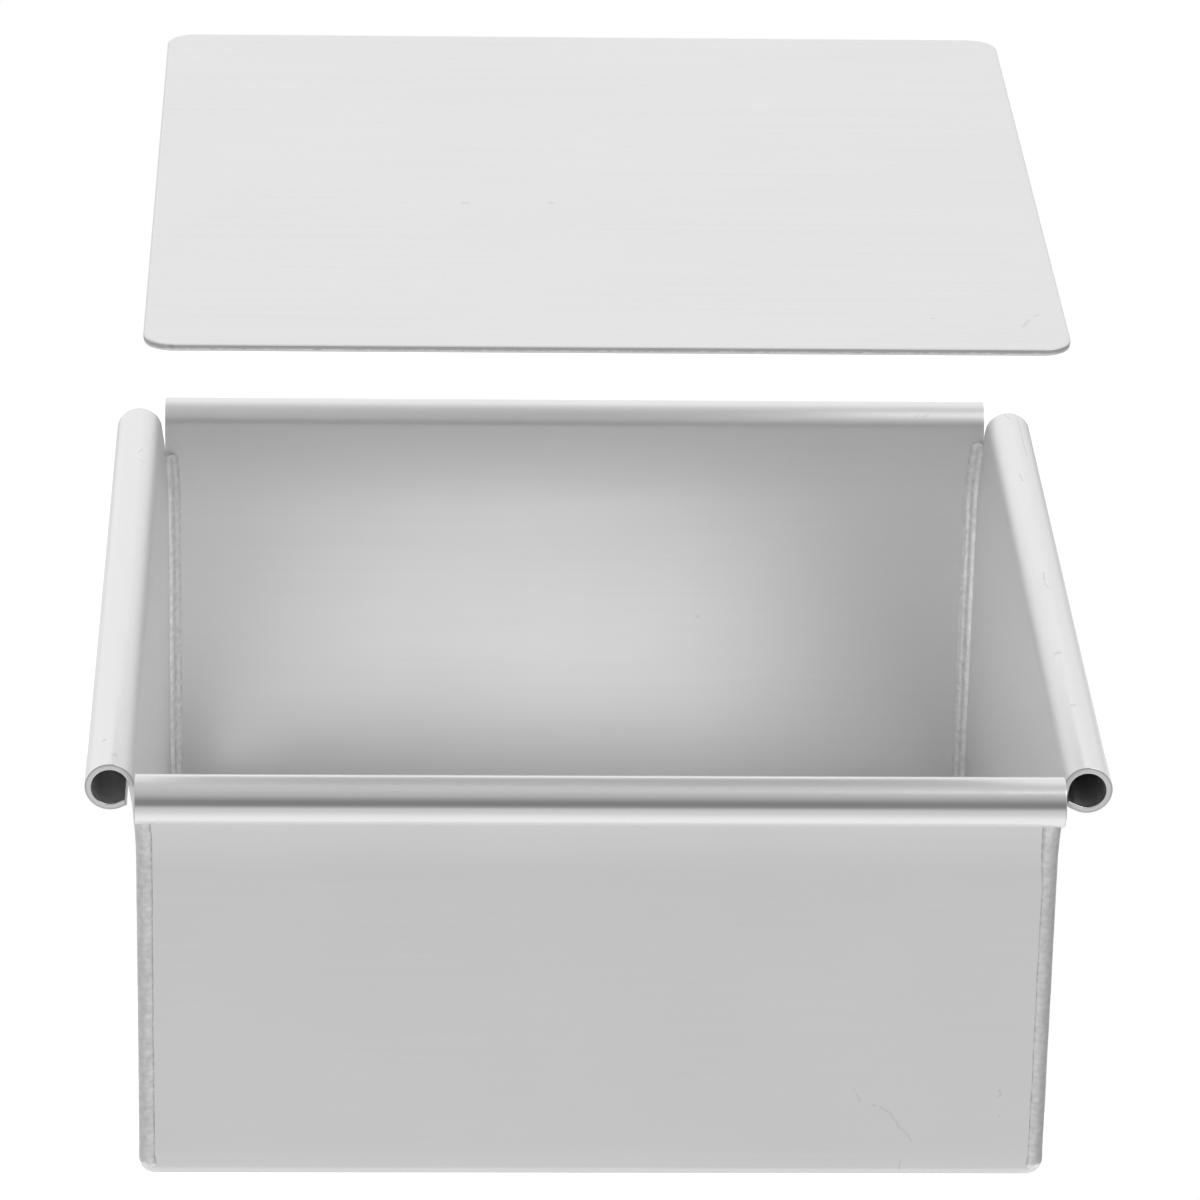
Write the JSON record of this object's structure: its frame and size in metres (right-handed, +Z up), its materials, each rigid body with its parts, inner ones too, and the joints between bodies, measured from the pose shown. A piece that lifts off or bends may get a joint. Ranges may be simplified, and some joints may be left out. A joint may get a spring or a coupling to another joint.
{
  "type": "square cake pan",
  "caption": "Square loose-bottom cake pan of satin aluminium sheet, with outward rolled rims, welded corners and a flat base that lifts out.",
  "frame": {"origin": "on the table, under the middle of the pan", "axes": "+Z up; +X to the right and +Y to the back, seen from the side that the picture shows in front"},
  "size_m": [0.1716, 0.1716, 0.1526],
  "materials": {
    "wall_sheet": "satin, fine rolling grain",
    "weld_bead": "satin, rippled as welded",
    "base_sheet": "satin, fine rolling grain"
  },
  "bodies": {
    "shell": {"wall_front": "wall_sheet", "wall_back": "wall_sheet", "wall_left": "wall_sheet", "wall_right": "wall_sheet", "corner_weld_front_left": "weld_bead", "corner_weld_front_right": "weld_bead", "corner_weld_back_left": "weld_bead", "corner_weld_back_right": "weld_bead"},
    "base": {"loose_base": "base_sheet"}
  },
  "joints": [
    {"name": "base_lift", "type": "slide", "parent": "shell", "child": "base", "axis": [0, 0, 1], "range_m": [-0.15, 0]}
  ]
}
